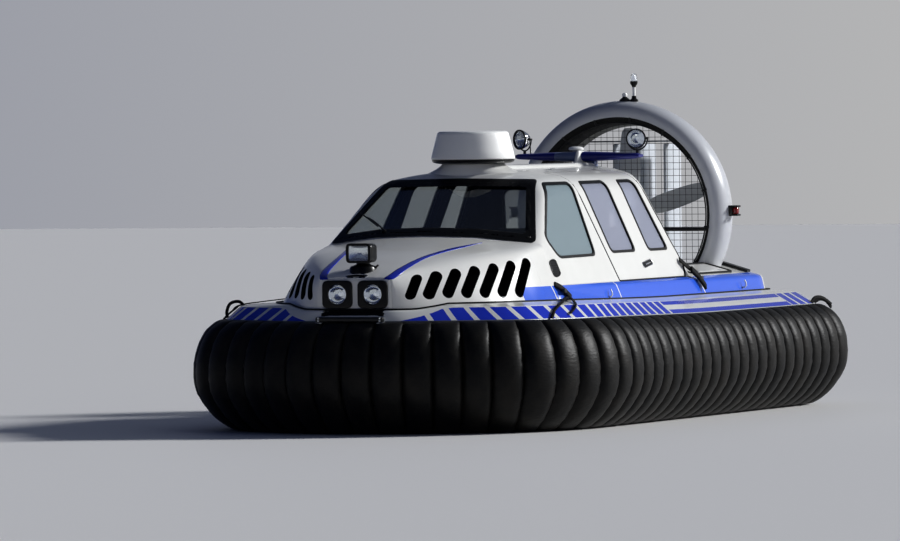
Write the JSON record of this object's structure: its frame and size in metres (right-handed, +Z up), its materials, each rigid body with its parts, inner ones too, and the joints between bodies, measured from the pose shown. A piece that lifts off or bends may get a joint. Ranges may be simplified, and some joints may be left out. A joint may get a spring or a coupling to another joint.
{
  "type": "small cabin hovercraft",
  "caption": "Small cabin hovercraft with a segmented air-cushion skirt, gull-wing side doors, and a ducted propeller with rudders on the stern.",
  "frame": {"origin": "middle of the craft on the ground it stands on", "axes": "+X forward to the bow, +Y to port, +Z up"},
  "size_m": [6.7205, 3.52, 2.694],
  "materials": {
    "gelcoat": "gloss",
    "skirt_fabric": "satin",
    "black_trim": "satin",
    "tinted_glass": "gloss",
    "alloy": "satin",
    "lamp_chrome": "gloss",
    "seat_vinyl": "satin",
    "blue_lens": "gloss",
    "red_lens": "gloss",
    "green_lens": "gloss",
    "engine_iron": "matte"
  },
  "bodies": {
    "craft": {"hull": "gelcoat", "skid_port": "black_trim", "skid_starboard": "black_trim", "skirt_bow": "skirt_fabric", "skirt_port": "skirt_fabric", "skirt_starboard": "skirt_fabric", "skirt_stern": "skirt_fabric", "nose_fairing": "gelcoat", "headlight_port": "black_trim", "headlight_starboard": "black_trim", "cabin_shell": "gelcoat", "windscreen": "tinted_glass", "quarter_glass_port": "tinted_glass", "rear_glass_port": "tinted_glass", "quarter_glass_starboard": "tinted_glass", "rear_glass_starboard": "tinted_glass", "engine_deck": "gelcoat", "engine": "engine_iron", "duct": "gelcoat", "duct_guard": "black_trim", "prop_frame": "alloy", "rudder_rail_top": "alloy", "rudder_rail_low": "alloy", "radar_pedestal": "gelcoat", "radar_dome": "gelcoat", "light_bar": "blue_lens", "roof_fin": "gelcoat", "searchlight_port": "lamp_chrome", "searchlight_starboard": "lamp_chrome", "hood_spotlight": "black_trim", "mast_light": "black_trim", "nav_light_port": "red_lens", "nav_light_starboard": "green_lens", "tow_bar": "black_trim", "dashboard": "black_trim", "steering_column": "black_trim", "seat_driver": "seat_vinyl", "seat_middle": "seat_vinyl", "seat_rear": "seat_vinyl"},
    "door_port": {"door_port": "gelcoat", "door_glass_front_port": "tinted_glass", "door_glass_rear_port": "tinted_glass"},
    "door_starboard": {"door_starboard": "gelcoat", "door_glass_front_starboard": "tinted_glass", "door_glass_rear_starboard": "tinted_glass"},
    "propeller": {"propeller": "black_trim"},
    "rudder_1": {"rudder_1": "alloy"},
    "rudder_2": {"rudder_2": "alloy"},
    "rudder_3": {"rudder_3": "alloy"},
    "steering_wheel": {"steering_wheel": "black_trim"}
  },
  "joints": [
    {"name": "door_port_hinge", "type": "hinge", "parent": "craft", "child": "door_port", "pos_m": [-0.4, 0.45, 1.945], "axis": [1, 0, 0], "range_deg": [0, 70]},
    {"name": "door_starboard_hinge", "type": "hinge", "parent": "craft", "child": "door_starboard", "pos_m": [-0.4, -0.45, 1.945], "axis": [-1, 0, 0], "range_deg": [0, 70]},
    {"name": "propeller_spin", "type": "hinge", "parent": "craft", "child": "propeller", "pos_m": [-2.71, 0, 1.553], "axis": [1, 0, 0], "continuous": true},
    {"name": "rudder_2_turn", "type": "hinge", "parent": "craft", "child": "rudder_2", "pos_m": [-2.995, 0, 1.62], "axis": [0, 0, 1], "range_deg": [-30, 30]},
    {"name": "rudder_1_turn", "type": "hinge", "parent": "craft", "child": "rudder_1", "pos_m": [-2.995, -0.22, 1.62], "axis": [0, 0, 1], "range_deg": [-30, 30]},
    {"name": "rudder_3_turn", "type": "hinge", "parent": "craft", "child": "rudder_3", "pos_m": [-2.995, 0.22, 1.62], "axis": [0, 0, 1], "range_deg": [-30, 30]},
    {"name": "steering_turn", "type": "hinge", "parent": "craft", "child": "steering_wheel", "pos_m": [1.01, 0, 1.23], "axis": [-0.8829, 0, 0.4695], "range_deg": [-90, 90]}
  ],
  "couplings": [
    {"joint": "rudder_1_turn", "follows": "rudder_2_turn", "ratio": 1},
    {"joint": "rudder_3_turn", "follows": "rudder_2_turn", "ratio": 1},
    {"joint": "steering_turn", "follows": "rudder_2_turn", "ratio": -3}
  ]
}
